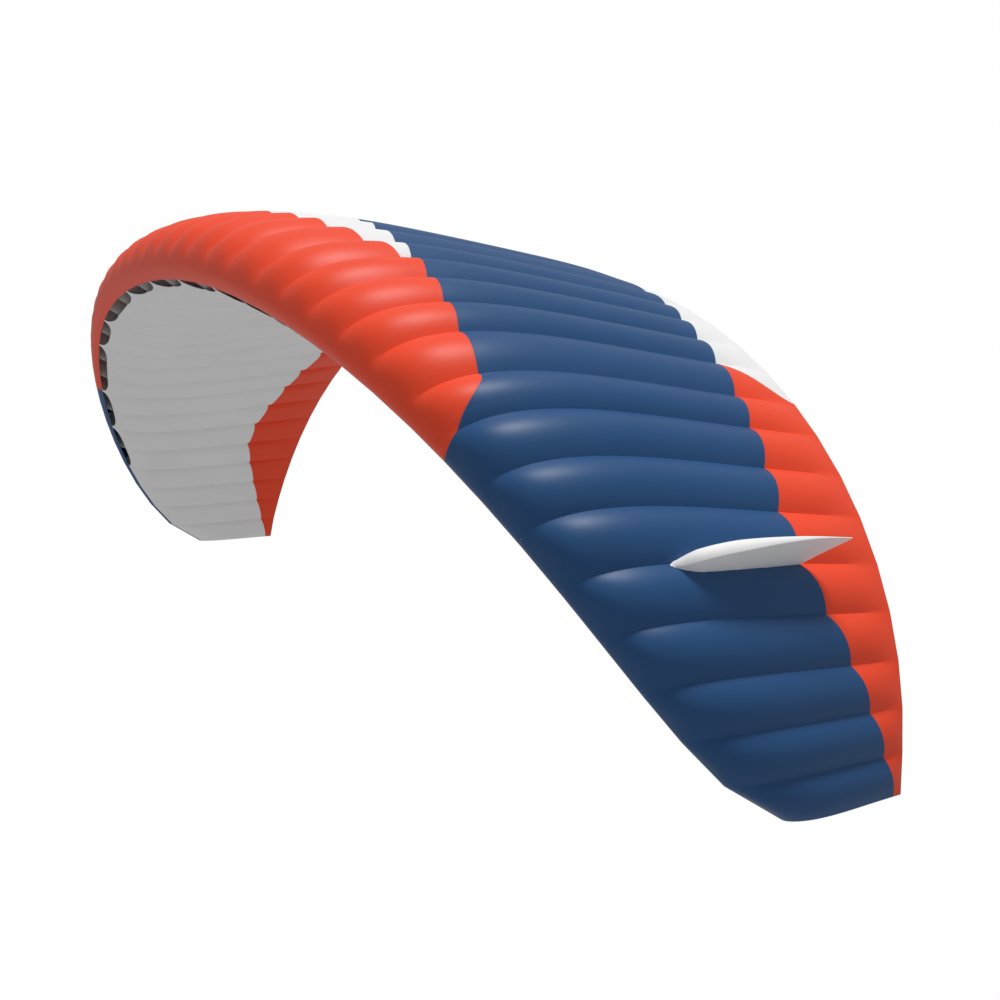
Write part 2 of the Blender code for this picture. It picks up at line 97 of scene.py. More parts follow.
floor_material = bpy.data.materials.new("floor")
floor_material.use_nodes = True
floor_nodes = floor_material.node_tree.nodes
floor_links = floor_material.node_tree.links
floor_shader = floor_nodes["Principled BSDF"]
floor_shader.inputs["Base Color"].default_value = (FLOOR_GREY, FLOOR_GREY, FLOOR_GREY, 1.0)
floor_shader.inputs["Roughness"].default_value = 1.0
floor_shader.inputs["Specular IOR Level"].default_value = 0.0
floor_glow = floor_nodes.new("ShaderNodeEmission")
floor_glow.inputs["Strength"].default_value = BACKDROP_STRENGTH
floor_mix = camera_ray_mix(
    floor_nodes, floor_links, floor_glow.outputs["Emission"], floor_shader.outputs["BSDF"])
floor_links.new(floor_mix, floor_nodes["Material Output"].inputs["Surface"])

floor_mesh = bpy.data.meshes.new("floor")
floor_builder = bmesh.new()
bmesh.ops.create_grid(floor_builder, x_segments=1, y_segments=1, size=FLOOR_HALF_SIDE)
bmesh.ops.translate(floor_builder, vec=(0.0, 0.0, FLOOR_HEIGHT), verts=floor_builder.verts)
floor_builder.to_mesh(floor_mesh)
floor_builder.free()
floor_mesh.materials.append(floor_material)
floor = bpy.data.objects.new("floor", floor_mesh)
bpy.context.scene.collection.objects.link(floor)

KEY_TURN = (-7.0, -4.0, 0.0)
KEY_STRENGTH = 2.45
KEY_WIDTH = 20.0

key_data = bpy.data.lights.new("key", "SUN")
key_data.energy = KEY_STRENGTH
key_data.angle = math.radians(KEY_WIDTH)
key = bpy.data.objects.new("key", key_data)
key.rotation_euler = [math.radians(angle) for angle in KEY_TURN]
bpy.context.scene.collection.objects.link(key)


# Ribs. A rib is a flat sheet of stiff white cloth, cut to the section of the wing and sewn to both
# sails. The 39 ribs stand across an arc and set the wing's plan and section. They show in the air
# intakes, and the last one on each side closes the tip.

# A place along the span counts ribs from the centre, 0, to the tip, 19, with a fraction between two
# ribs, and is negative on the right wing. A contour place q runs round the section, from -1 at the
# tail below through 0 at the nose to 1 at the tail above, and its square is the chord fraction.
ROLL_DEGREES = {1: 39.0, 3: 28.0, 5: 20.0}
CENTRE_CHORD = 2.70
TIP_CHORD = 0.67
CHORD_POWER = 2.33
CHORD_FULLNESS = 0.67
TRAILING_SWEEP = {2: 0.34, 4: 0.12}
TIP_RIB_CHORD = 0.71
TIP_RIB_SETBACK = 1.54
TWIST = {2: 0.035, 4: 0.014}
UPPER_WEIGHTS = (0.33, 0.265, 0.165, 0.155)
LOWER_WEIGHTS = (0.28, 0.165, 0.135, 0.12)
TRAILING_HALF = 0.0018
ARC_STEPS = 280
HANG_Q = -0.5  # the origin, on the centre rib's lower edge

# One row for each rib, from the tip to the centre: the width of the cell inboard of it, and the
# chord fractions of both sails' rear seam, the nose's upper seam and the wedge's rear seam.
RIB_COLUMNS = ("width", "rear", "nose", "wedge")
RIB_ROWS = (
    (0.190, 0.920, 0.000, 0.000),
    (0.210, 0.867, 0.000, 0.000),
    (0.220, 0.812, 0.000, 0.000),
    (0.240, 0.766, 0.000, 0.000),
    (0.250, 0.725, 0.000, 0.000),
    (0.275, 0.693, 0.000, 0.000),
    (0.270, 0.706, 0.000, 0.000),
    (0.290, 0.744, 0.000, 0.000),
    (0.270, 0.783, 0.000, 0.000),
    (0.335, 0.815, 0.139, 0.139),
    (0.295, 0.850, 0.184, 0.184),
    (0.310, 0.874, 0.222, 0.222),
    (0.310, 0.907, 0.255, 0.255),
    (0.325, 0.937, 0.262, 0.284),
    (0.410, 0.960, 0.242, 0.312),
    (0.350, 0.978, 0.230, 0.340),
    (0.350, 1.000, 0.222, 0.366),
    (0.350, 1.000, 0.212, 0.385),
    (0.350, 1.000, 0.206, 0.400),
    (0.000, 1.000, 0.204, 0.405),
)
TIP = len(RIB_ROWS) - 1
RIBS = [dict(zip(RIB_COLUMNS, row)) for row in reversed(RIB_ROWS)]
RIB_ARC = np.concatenate([[0.0], np.cumsum([rib["width"] for rib in RIBS[1:]])])
HALF_SPAN = float(RIB_ARC[-1])


def power_law(law, place):
    """Sum of powers of a place, 0 at the centre and 1 at the tip, each times its factor."""
    return sum(factor * place ** power for power, factor in law.items())


def arc_points(steps):
    """Outward and upward places along one half of the arc, by adding up short chords."""
    places = np.linspace(0.0, 1.0, steps + 1)
    middles = 0.5 * (places[1:] + places[:-1])
    roll = np.radians([power_law(ROLL_DEGREES, place) for place in middles])
    step = HALF_SPAN / steps
    out = np.concatenate([[0.0], np.cumsum(np.cos(roll)) * step])
    up = np.concatenate([[0.0], -np.cumsum(np.sin(roll)) * step])
    return places * HALF_SPAN, out, up


ARC_TABLE = arc_points(ARC_STEPS)


def rib_frame(rib):
    """Place, roll, chord, leading edge and twist of one rib."""
    arc = RIB_ARC[rib]
    place = arc / HALF_SPAN
    chord = TIP_CHORD + (CENTRE_CHORD - TIP_CHORD) * (1.0 - place ** CHORD_POWER) ** CHORD_FULLNESS
    setback = CENTRE_CHORD - power_law(TRAILING_SWEEP, place) - chord
    if rib == TIP:
        chord = TIP_RIB_CHORD
        setback = TIP_RIB_SETBACK
    return {
        "out": float(np.interp(arc, ARC_TABLE[0], ARC_TABLE[1])),
        "up": float(np.interp(arc, ARC_TABLE[0], ARC_TABLE[2])),
        "roll": math.radians(power_law(ROLL_DEGREES, place)),
        "chord": chord,
        "setback": setback,
        "twist": power_law(TWIST, place),
    }


FRAMES = [rib_frame(rib) for rib in range(TIP + 1)]


def bernstein(weights, fraction):
    """Smooth curve through four weights, from the nose to the tail."""
    rest = 1.0 - fraction
    terms = (rest ** 3, 3 * fraction * rest ** 2, 3 * fraction ** 2 * rest, fraction ** 3)
    return sum(weight * term for weight, term in zip(weights, terms))


def rib_outline(rib, q):
    """Aft and outward place of a contour point in the rib's own plane."""
    shape = FRAMES[rib]
    side = 1.0 if q >= 0 else -1.0
    weights = UPPER_WEIGHTS if q >= 0 else LOWER_WEIGHTS
    fraction = q * q
    chord = shape["chord"]
    rise = abs(q) * (1.0 - fraction) * bernstein(weights, fraction) * chord + TRAILING_HALF * fraction
    aft = shape["setback"] + fraction * chord * math.cos(shape["twist"])
    outward = side * rise - (fraction - 0.5) * chord * math.sin(shape["twist"])
    return aft, outward


def rib_place(rib, aft, outward):
    """Place in the wing of a point in a rib's plane, before the origin is moved."""
    shape = FRAMES[rib]
    across = shape["out"] + outward * math.sin(shape["roll"])
    up = shape["up"] + outward * math.cos(shape["roll"])
    return Vector((across, aft, up))


HANG_POINT = rib_place(0, *rib_outline(0, HANG_Q))


INTAKE_LIP = -0.148
MOUTH_RIBS = (1, 3, 6, 8, 11, 13, 15)
MOUTH_DEPTH = 0.026
MOUTH_LAND = 0.05
MOUTH_CORNER = 0.8


def lower_front_edge(place):
    """Front edge of the lower sail: the nose's lip, or the rounded edge of an air intake."""
    if abs(place) >= MOUTH_RIBS[-1]:
        return INTAKE_LIP
    nearest = min(abs(abs(place) - rib) for rib in MOUTH_RIBS)
    inward = 1.0 - min(max(nearest - MOUTH_LAND, 0.0) / MOUTH_CORNER, 1.0)
    return -math.sqrt(INTAKE_LIP ** 2 + MOUTH_DEPTH * math.sqrt(1.0 - inward ** 2))


# The cloth is coated ripstop nylon: a plain weave with thicker threads that make a fine grid of
# squares. Where two pieces are joined, each is folded under and stitched along its edge. A fade is
# given by where a mark is full and where it has gone.
CLOTH_THICKNESS = 0.0015
SHARP_ANGLE = 28.0
RIPSTOP_PITCH = 0.006
THREAD_FADE = (0.03, 0.09)
THREAD_HEIGHT = 0.00006
FOLD_WIDTH = 0.010
FOLD_FADE = 0.001
FOLD_HEIGHT = 0.0003
STITCH_LENGTH = 0.003
STITCH_GAP_FADE = (0.10, 0.20)
STITCH_ROW_FADE = (0.0022, 0.0008)  # distances from the middle of the fold
STITCH_DEPTH = 0.00025
CRUMPLE_SCALE = 26.0
CRUMPLE_DETAIL = 2.0
CRUMPLE_HEIGHT = 0.0003
BLOTCH_SCALE = 2.2
BLOTCH_DETAIL = 3.0
BLOTCH_FADE = (0.30, 0.60)
THREAD_SHADE = 0.96
STITCH_SHADE = 0.80
ROUGHNESS_SPREAD = (-0.03, 0.05)
BUMP_STRENGTH = 0.6


def math_node(nodes, links, operation, first, second, clamp=False):
    """A Math node with its inputs linked or set, which gives back its output."""
    node = nodes.new("ShaderNodeMath")
    node.operation = operation
    node.use_clamp = clamp
    for index, value in enumerate((first, second)):
        if isinstance(value, (int, float)):
            node.inputs[index].default_value = value
        else:
            links.new(value, node.inputs[index])
    return node.outputs["Value"]


def ramp_down(nodes, links, value, full, none):
    """1 below a value of full, 0 above a value of none, and a smooth step between."""
    node = nodes.new("ShaderNodeMapRange")
    node.interpolation_type = "SMOOTHSTEP"
    node.inputs["From Min"].default_value = full
    node.inputs["From Max"].default_value = none
    node.inputs["To Min"].default_value = 1.0
    node.inputs["To Max"].default_value = 0.0
    links.new(value, node.inputs["Value"])
    return node.outputs["Result"]


def noise_node(nodes, links, scale, detail):
    """A Noise node on the piece's own coordinates, which gives back its output."""
    place = nodes.new("ShaderNodeTexCoord")
    noise = nodes.new("ShaderNodeTexNoise")
    noise.inputs["Scale"].default_value = scale
    noise.inputs["Detail"].default_value = detail
    links.new(place.outputs["Object"], noise.inputs["Vector"])
    return noise.outputs["Fac"]


def build_weave_group():
    """Ripstop grid, crumple and stitched edges of coated cloth, as a height and three masks."""
    group = bpy.data.node_groups.new("ripstop", "ShaderNodeTree")
    pitch = group.interface.new_socket(name="Pitch", in_out="INPUT", socket_type="NodeSocketFloat")
    pitch.default_value = RIPSTOP_PITCH
    for name in ("Height", "Grid", "Seam", "Blotch"):
        group.interface.new_socket(name=name, in_out="OUTPUT", socket_type="NodeSocketFloat")
    nodes = group.nodes
    links = group.links
    entry = nodes.new("NodeGroupInput")
    leave = nodes.new("NodeGroupOutput")
    cloth = nodes.new("ShaderNodeUVMap")
    cloth.uv_map = "Cloth"
    split = nodes.new("ShaderNodeSeparateXYZ")
    links.new(cloth.outputs["UV"], split.inputs["Vector"])
    threads = []
    for axis in ("X", "Y"):
        squares = math_node(nodes, links, "DIVIDE", split.outputs[axis], entry.outputs["Pitch"])
        wrapped = math_node(nodes, links, "PINGPONG", squares, 0.5)
        threads.append(ramp_down(nodes, links, wrapped, *THREAD_FADE))
    grid = math_node(nodes, links, "MAXIMUM", *threads)

    edge_gap = nodes.new("ShaderNodeAttribute")
    edge_gap.attribute_name = "edge_gap"
    fold = ramp_down(nodes, links, edge_gap.outputs["Fac"], FOLD_WIDTH, FOLD_WIDTH + FOLD_FADE)
    middle = FOLD_WIDTH / 2
    from_row = math_node(nodes, links, "PINGPONG", edge_gap.outputs["Fac"], middle)
    off_row = ramp_down(nodes, links, from_row, *(middle - fade for fade in STITCH_ROW_FADE))
    along = math_node(nodes, links, "DIVIDE", split.outputs["X"], STITCH_LENGTH)
    dash = math_node(nodes, links, "PINGPONG", along, 0.5)
    between = ramp_down(nodes, links, dash, *STITCH_GAP_FADE)
    bare = math_node(nodes, links, "MAXIMUM", off_row, between)
    stitches = math_node(nodes, links, "SUBTRACT", 1.0, bare, clamp=True)
    stitches = math_node(nodes, links, "MULTIPLY", stitches, fold)

    blotch = noise_node(nodes, links, BLOTCH_SCALE, BLOTCH_DETAIL)
    crumple = noise_node(nodes, links, CRUMPLE_SCALE, CRUMPLE_DETAIL)
    height = math_node(nodes, links, "MULTIPLY", grid, THREAD_HEIGHT)
    for relief, depth in ((crumple, CRUMPLE_HEIGHT), (fold, FOLD_HEIGHT), (stitches, -STITCH_DEPTH)):
        raised = math_node(nodes, links, "MULTIPLY", relief, depth)
        height = math_node(nodes, links, "ADD", height, raised)
    for name, value in (("Height", height), ("Grid", grid), ("Seam", stitches), ("Blotch", blotch)):
        links.new(value, leave.inputs[name])
    return group


WEAVE = build_weave_group()


def colour_mix(nodes, links, mask, first, colour):
    """Mix a colour over another where a mask says so, and give back the result."""
    mix = nodes.new("ShaderNodeMix")
    mix.data_type = "RGBA"
    mix.inputs["B"].default_value = (*colour, 1.0)
    if isinstance(first, tuple):
        mix.inputs["A"].default_value = (*first, 1.0)
    else:
        links.new(first, mix.inputs["A"])
    links.new(mask, mix.inputs["Factor"])
    return mix.outputs["Result"]


def cloth_material(name, colour, roughness, specular):
    """Coated ripstop of one colour: a little darker in blotches and threads, and at the stitches."""
    material = bpy.data.materials.new(name)
    material.use_nodes = True
    nodes = material.node_tree.nodes
    links = material.node_tree.links
    shader = nodes["Principled BSDF"]
    shader.inputs["Specular IOR Level"].default_value = specular
    weave = nodes.new("ShaderNodeGroup")
    weave.node_tree = WEAVE
    spread = nodes.new("ShaderNodeMapRange")
    spread.inputs["From Min"].default_value = BLOTCH_FADE[0]
    spread.inputs["From Max"].default_value = BLOTCH_FADE[1]
    links.new(weave.outputs["Blotch"], spread.inputs["Value"])
    dark = tuple(channel * THREAD_SHADE for channel in colour)
    pierced = tuple(channel * STITCH_SHADE for channel in colour)
    shade = colour_mix(nodes, links, spread.outputs["Result"], dark, colour)
    shade = colour_mix(nodes, links, weave.outputs["Grid"], shade, dark)
    shade = colour_mix(nodes, links, weave.outputs["Seam"], shade, pierced)
    links.new(shade, shader.inputs["Base Color"])
    rough = nodes.new("ShaderNodeMapRange")
    rough.inputs["To Min"].default_value = roughness + ROUGHNESS_SPREAD[0]
    rough.inputs["To Max"].default_value = roughness + ROUGHNESS_SPREAD[1]
    links.new(weave.outputs["Blotch"], rough.inputs["Value"])
    links.new(rough.outputs["Result"], shader.inputs["Roughness"])
    bump = nodes.new("ShaderNodeBump")
    bump.inputs["Strength"].default_value = BUMP_STRENGTH
    bump.inputs["Distance"].default_value = 1.0
    links.new(weave.outputs["Height"], bump.inputs["Height"])
    links.new(bump.outputs["Normal"], shader.inputs["Normal"])
    return material


def spread_cloth(builder, cloth, flat):
    """Write each point's place on the flat cloth into the mesh's UV map."""
    for face in builder.faces:
        for loop in face.loops:
            loop[cloth].uv = flat[loop.vert]


def finish_cloth(builder, name, material, offset):
    """Give a flat mesh the cloth's thickness and a crisp edge, and put it in the scene."""
    mesh = bpy.data.meshes.new(name)
    builder.to_mesh(mesh)
    builder.free()
    thin = bpy.data.objects.new(name + "_thin", mesh)
    bpy.context.scene.collection.objects.link(thin)
    sheet = thin.modifiers.new("Sheet", "SOLIDIFY")
    sheet.thickness = CLOTH_THICKNESS
    sheet.offset = offset
    sheet.use_even_offset = True
    bpy.context.view_layer.update()
    thickened = thin.evaluated_get(bpy.context.evaluated_depsgraph_get())
    solid = bpy.data.meshes.new_from_object(thickened)
    bpy.data.objects.remove(thin)
    bpy.data.meshes.remove(mesh)
    solid.name = name
    solid.materials.append(material)
    solid.shade_smooth()
    solid.set_sharp_from_angle(angle=math.radians(SHARP_ANGLE))
    piece = bpy.data.objects.new(name, solid)
    bpy.context.scene.collection.objects.link(piece)
    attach(piece, "root")
    return piece


RIB_CLOTH = cloth_material(
    "rib_cloth", colour=(0.900, 0.890, 0.885), roughness=0.65, specular=0.08)
RIB_INSET = 0.0024
RIB_NOSE_INSET = 0.0031
RIB_NOSE_FADE = 6
RIB_INSET_LIMIT = 0.4
RIB_TUCK = 0.0011
RIB_LONG_STEPS = 40
RIB_HIGH_STEPS = 4
RIB_TAIL_STOP = 0.985


def rib_side(rib, reach, upper):
    """Edge of a rib at a share of the way from nose to tail, straight where an intake opens."""
    if upper:
        return Vector(rib_outline(rib, reach))
    front = lower_front_edge(rib)
    if -INTAKE_LIP < reach < -front:
        share = (reach ** 2 - INTAKE_LIP ** 2) / (front ** 2 - INTAKE_LIP ** 2)
        return Vector(rib_outline(rib, INTAKE_LIP)).lerp(Vector(rib_outline(rib, front)), share)
    return Vector(rib_outline(rib, -reach))


def rib_mesh(rib, side):
    """A grid between a rib's two edges, drawn in a little from the sails, most of all at the nose."""
    builder = bmesh.new()
    cloth = builder.loops.layers.uv.new("Cloth")
    edge_gap = builder.verts.layers.float.new("edge_gap")
    bmesh.ops.create_grid(builder, x_segments=RIB_LONG_STEPS, y_segments=RIB_HIGH_STEPS, size=1.0)
    roll = FRAMES[rib]["roll"]
    tuck = Vector((math.cos(roll), 0.0, -math.sin(roll))) * (RIB_TUCK if rib == TIP else 0.0)
    flat = {}
    for vertex in builder.verts:
        backward = (vertex.co.x + 1.0) / 2.0
        gap = RIB_INSET + RIB_NOSE_INSET * (1.0 - backward) ** RIB_NOSE_FADE
        reach = gap + (RIB_TAIL_STOP - gap) * backward
        upper = rib_side(rib, reach, True)
        lower = rib_side(rib, reach, False)
        height = (upper - lower).length
        inset = min(gap / height, RIB_INSET_LIMIT)
        share = inset + (1.0 - 2.0 * inset) * (vertex.co.y + 1.0) / 2.0
        spot = lower.lerp(upper, share)
        flat[vertex] = (spot.x, spot.y)
        vertex[edge_gap] = min(share, 1.0 - share) * height
        vertex.co = rib_place(rib, spot.x, spot.y) - HANG_POINT - tuck
        vertex.co.x *= side
    spread_cloth(builder, cloth, flat)
    if side < 0:
        bmesh.ops.reverse_faces(builder, faces=builder.faces)
    area = sum(face.calc_area() for face in builder.faces)
    along, across = zip(*flat.values())
    return builder, max(along) - min(along), max(across) - min(across), area


for rib in range(TIP + 1):
    for side, word in ((1, "left"), (-1, "right")) if rib else ((1, "centre"),):
        node = f"rib_{word}_{rib:02d}" if rib else "rib_centre"
        builder, length, height, area = rib_mesh(rib, side)
        piece = finish_cloth(builder, node.replace("rib", "rib_sheet"), RIB_CLOTH, 0.0)
        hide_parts(node)


# Red nose. One panel of red coated nylon wraps round the leading edge of the 22 middle cells, from
# the upper seam down to the lip of the air intakes. It is sewn to the ribs in the valleys between
# the cells, and in the last cell on each side its upper seam bends forward and down to the lip.

UPPER_SWELL = {"share": 0.17, "start": 0.0, "rise": 0.03, "fullness": 2.0}
LOWER_SWELL = {"share": 0.12, "start": 0.04, "rise": 0.08, "fullness": 5.5}
SWELL_WIDTH = 0.29
SWELL_FALL_POWER = 9.0
CONTOUR_NUDGE = 0.002
PLACE_ROUNDING = 1e-9


def cell_width(rib):
    """Width along the arc of the cell outboard of a rib."""
    return RIB_ARC[rib + 1] - RIB_ARC[rib]


def split_place(place):
    """The rib inboard of a span place, and the fraction of the cell beyond it."""
    rib = min(math.floor(abs(place) + PLACE_ROUNDING), TIP - 1)
    return rib, min(max(abs(place) - rib, 0.0), 1.0)


def swell_height(swell, width, fraction):
    """Swell in the middle of a cell: it grows behind the nose and fades before the tail."""
    rise = math.tanh(max(fraction - swell["start"], 0.0) / swell["rise"])
    return swell["share"] * min(width, SWELL_WIDTH) * rise * (1.0 - fraction ** SWELL_FALL_POWER)


def cell_normal(rib, across, q):
    """Outward direction of a cell at a fraction across it, square to the section."""
    aft_before, out_before = rib_outline(rib, max(q - CONTOUR_NUDGE, -1.0))
    aft_after, out_after = rib_outline(rib, min(q + CONTOUR_NUDGE, 1.0))
    run, rise = aft_after - aft_before, out_after - out_before
    roll = (1 - across) * FRAMES[rib]["roll"] + across * FRAMES[rib + 1]["roll"]
    return Vector((run * math.sin(roll), -rise, run * math.cos(roll))).normalized()


def sail_point(place, q, lift=0.0):
    """A point of the sail's outer face, or lifted off it."""
    rib, across = split_place(place)
    first = rib_place(rib, *rib_outline(rib, q))
    last = rib_place(rib + 1, *rib_outline(rib + 1, q))
    law = UPPER_SWELL if q >= 0 else LOWER_SWELL
    swell = swell_height(law, cell_width(rib), q * q)
    swell *= 1.0 - abs(2.0 * across - 1.0) ** law["fullness"]
    point = first.lerp(last, across) + cell_normal(rib, across, q) * (swell + lift) - HANG_POINT
    if place < 0:
        point.x = -point.x
    return point


SEAM_SCALLOP = 0.003
SCALLOP_FADE = 0.06
WEDGE_END = 6
WEDGE_STEP = 0.03
NOSE_END = 11
NOSE_CORNER = 0.155
NOSE_TURN_POWER = 1.9
NOSE_BULGE = 0.115
NOSE_BULGE_FADE = 0.5
NOSE_ROWS = 24


def seam_fraction(column, place):
    """Chord fraction of a seam, with a scallop between ribs that fades where it nears the tail."""
    rib, across = split_place(place)
    fraction = (1 - across) * RIBS[rib][column] + across * RIBS[rib + 1][column]
    scallop = SEAM_SCALLOP * min((1.0 - fraction) / SCALLOP_FADE, 1.0)
    return fraction + scallop * 4.0 * across * (1.0 - across)


def nose_seam(place):
    """Upper seam of the nose: it steps back past the wedge, and bends forward in the last cell."""
    beyond = abs(place) - (NOSE_END - 1)
    if beyond > 0:
        inner = math.sqrt(RIBS[NOSE_END - 1]["nose"])
        return inner + min(beyond, 1.0) ** NOSE_TURN_POWER * (NOSE_CORNER - inner)
    step = min(max((abs(place) - WEDGE_END) / WEDGE_STEP, 0.0), 1.0)
    return math.sqrt((1 - step) * seam_fraction("nose", place) + step * seam_fraction("wedge", place))


def intake_lip(_place):
    """Lower edge of the nose, the same all along the wing."""
    return INTAKE_LIP


def bowed_place(place, q):
    """Span place moved outward where the nose's outer edge bows past its last rib."""
    beyond = abs(place) - NOSE_END
    share = (NOSE_CORNER - q) / (NOSE_CORNER - INTAKE_LIP)
    if not (0.0 <= beyond < NOSE_BULGE_FADE and 0.0 < share < 1.0):
        return place
    bow = NOSE_BULGE * math.sin(math.pi * share) * (1.0 - beyond / NOSE_BULGE_FADE)
    return place + math.copysign(bow, place)


COLUMNS_IN_CELL = 12
CORNER_STEPS = (0.05, 0.06, 0.075, 0.10, 0.14)
LEAST_COLUMN = 0.004


def span_places(start, end):
    """Places of a left panel's columns, closer together at the corners of the intakes."""
    places = [number / COLUMNS_IN_CELL for number in range(TIP * COLUMNS_IN_CELL + 1)]
    for rib in MOUTH_RIBS:
        places += [rib + side * step for side in (-1, 1) for step in CORNER_STEPS]
    places.append(WEDGE_END + WEDGE_STEP)
    inner = sorted(place for place in places if start + LEAST_COLUMN < place < end - LEAST_COLUMN)
    return [start] + inner + [end]


def panel_contours(places, seams, rows):
    """Points of a panel along each of its columns, and how far along the cloth they lie."""
    contours = []
    for place in places:
        low, high = (seam(place) for seam in seams)
        curve = [low + (high - low) * row / rows for row in range(rows + 1)]
        points = [sail_point(bowed_place(place, q), q) for q in curve]
        steps = [(after - before).length for before, after in zip(points, points[1:])]
        contours.append((points, np.concatenate([[0.0], np.cumsum(steps)])))
    return contours


def panel_mesh(places, seams, rows):
    """Lay a grid over the sail from seam to seam, and note how far each point is from a seam."""
    columns = len(places) - 1
    contours = panel_contours(places, seams, rows)
    builder = bmesh.new()
    cloth = builder.loops.layers.uv.new("Cloth")
    edge_gap = builder.verts.layers.float.new("edge_gap")
    bmesh.ops.create_grid(builder, x_segments=columns, y_segments=rows, size=1.0)
    flat = {}
    for vertex in builder.verts:
        column = round((vertex.co.x + 1.0) / 2.0 * columns)
        row = round((vertex.co.y + 1.0) / 2.0 * rows)
        points, lengths = contours[column]
        rib, across = split_place(places[column])
        arc = RIB_ARC[rib] + across * cell_width(rib)
        vertex.co = points[row]
        vertex[edge_gap] = min(lengths[row], lengths[-1] - lengths[row])
        flat[vertex] = (math.copysign(arc, places[column]), float(lengths[row]))
    spread_cloth(builder, cloth, flat)
    middles = [points[rows // 2] for points, _lengths in contours]
    width = sum((after - before).length for before, after in zip(middles, middles[1:]))
    length = max(float(lengths[-1]) for _points, lengths in contours)
    return builder, width, length, sum(face.calc_area() for face in builder.faces)


def make_panel(name, nodes, places, seams, rows, material):
    """Make one panel, and hide the solids that it stands for."""
    builder, width, length, area = panel_mesh(places, seams, rows)
    piece = finish_cloth(builder, name, material, -1.0)
    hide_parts(*nodes)


def make_panels(name, nodes, ends, seams, rows, material):
    """One panel across the centre, if it starts there, or else one on each side."""
    outward = span_places(*ends)
    inward = [-place for place in reversed(outward)]
    if ends[0] == 0:
        make_panel(name, nodes, inward + outward[1:], seams, rows, material)
        return
    for word, node, places in (("left", nodes[0], outward), ("right", nodes[1], inward)):
        make_panel(f"{name}_{word}", (node,), places, seams, rows, material)


RED_CLOTH = cloth_material(
    "red_cloth", colour=(0.940, 0.080, 0.031), roughness=0.40, specular=0.15)
make_panels("nose_panel", ("nose_left", "nose_centre", "nose_right"), (0, NOSE_END),
            (intake_lip, nose_seam), NOSE_ROWS, RED_CLOTH)


# White wedge. A long panel of white coated nylon is sewn in between the red nose and the navy
# cloth. It is broadest at the centre and tapers to rib 6 on each side, where it ends in a short step.

WEDGE_ROWS = 6


def wedge_seam(place):
    """Front seam of the navy panels: behind the wedge, then behind the nose's last cell."""
    return math.sqrt(seam_fraction("wedge", place)) if abs(place) < NOSE_END - 1 else nose_seam(place)


WHITE_CLOTH = cloth_material(
    "white_cloth", colour=(0.900, 0.900, 0.900), roughness=0.50, specular=0.12)
make_panels("wedge_panel", ("nose_wedge",), (0, WEDGE_END),
            (nose_seam, wedge_seam), WEDGE_ROWS, WHITE_CLOTH)


# Navy upper sail. The middle length of navy coated nylon runs back from the wedge and the nose. A
# length on each side goes on from rib 11 to the tip, and wraps round the leading edge as well. All
# three are sewn to the ribs, so that air swells them between one rib and the next.

TOP_ROWS = 24
TOP_TIP_ROWS = 36


def rear_seam(place):
    """Rear seam of the navy panels, or the tail where no band follows them."""
    return math.sqrt(seam_fraction("rear", place))


NAVY_CLOTH = cloth_material(
    "navy_cloth", colour=(0.022, 0.085, 0.225), roughness=0.40, specular=0.20)
make_panels("top_panel", ("top_centre",), (0, NOSE_END),
            (wedge_seam, rear_seam), TOP_ROWS, NAVY_CLOTH)
make_panels("top_tip_panel", ("top_left", "top_right"), (NOSE_END, TIP),
            (intake_lip, rear_seam), TOP_TIP_ROWS, NAVY_CLOTH)


# Trailing bands. A strip of white coated nylon is sewn on behind the navy cloth from rib 3 to rib
# 10 on each side, and a broader red one goes on to the tip. They meet on a slant across the cell
# between ribs 9 and 10.

WHITE_BAND_START = 3
BAND_TURN = 9
POINT_TRIM = 0.03
WHITE_BAND_ROWS = 6
RED_BAND_ROWS = 8


def turn_share(place, turn):
    """0 at the outer rib of the cell where a band changes colour, 1 at its inner rib."""
    return min(max(turn + 1 - abs(place), 0.0), 1.0)


def band_seam(place):
    """The slanting seam between the bands, which joins the rear seam inboard and the tail outboard."""
    return 1.0 + turn_share(place, BAND_TURN) * (rear_seam(place) - 1.0)


def upper_tail(_place):
    return 1.0


make_panels("tail_white_panel", ("tail_white_left", "tail_white_right"),
            (WHITE_BAND_START + POINT_TRIM, BAND_TURN + 1 - POINT_TRIM),
            (band_seam, upper_tail), WHITE_BAND_ROWS, WHITE_CLOTH)
make_panels("tail_red_panel", ("tail_red_left", "tail_red_right"), (BAND_TURN + POINT_TRIM, TIP),
            (rear_seam, band_seam), RED_BAND_ROWS, RED_CLOTH)


# White lower sail. The middle length of white coated nylon reaches to rib 10, and a length on each
# side goes on to the tip. Its front edge is cut back in rounded mouths, two or three cells wide,
# which leave the air intakes open under the nose.

LOWER_JOIN = 10
LOWER_TURN = 8
LOWER_ROWS = 22


def lower_rear_seam(place):
    """Rear edge of the white lower sail: the tail, then a slant to the seam before the red zone."""
    return -(rear_seam(place) + turn_share(place, LOWER_TURN) * (1.0 - rear_seam(place)))


make_panels("bottom_panel", ("bottom_mid_left", "bottom_centre", "bottom_mid_right"), (0, LOWER_JOIN),
            (lower_rear_seam, lower_front_edge), LOWER_ROWS, WHITE_CLOTH)
make_panels("bottom_tip_panel", ("bottom_tip_left", "bottom_tip_right"), (LOWER_JOIN, TIP),
            (lower_rear_seam, lower_front_edge), LOWER_ROWS, WHITE_CLOTH)


# Red lower zone. A panel of red coated nylon is sewn on to end the lower sail on each side. It
# starts as a point at rib 8, broadens towards rib 14, and ends as a narrow strip at the tip.

RED_ZONE_ROWS = 8


def lower_tail(_place):
    return -1.0


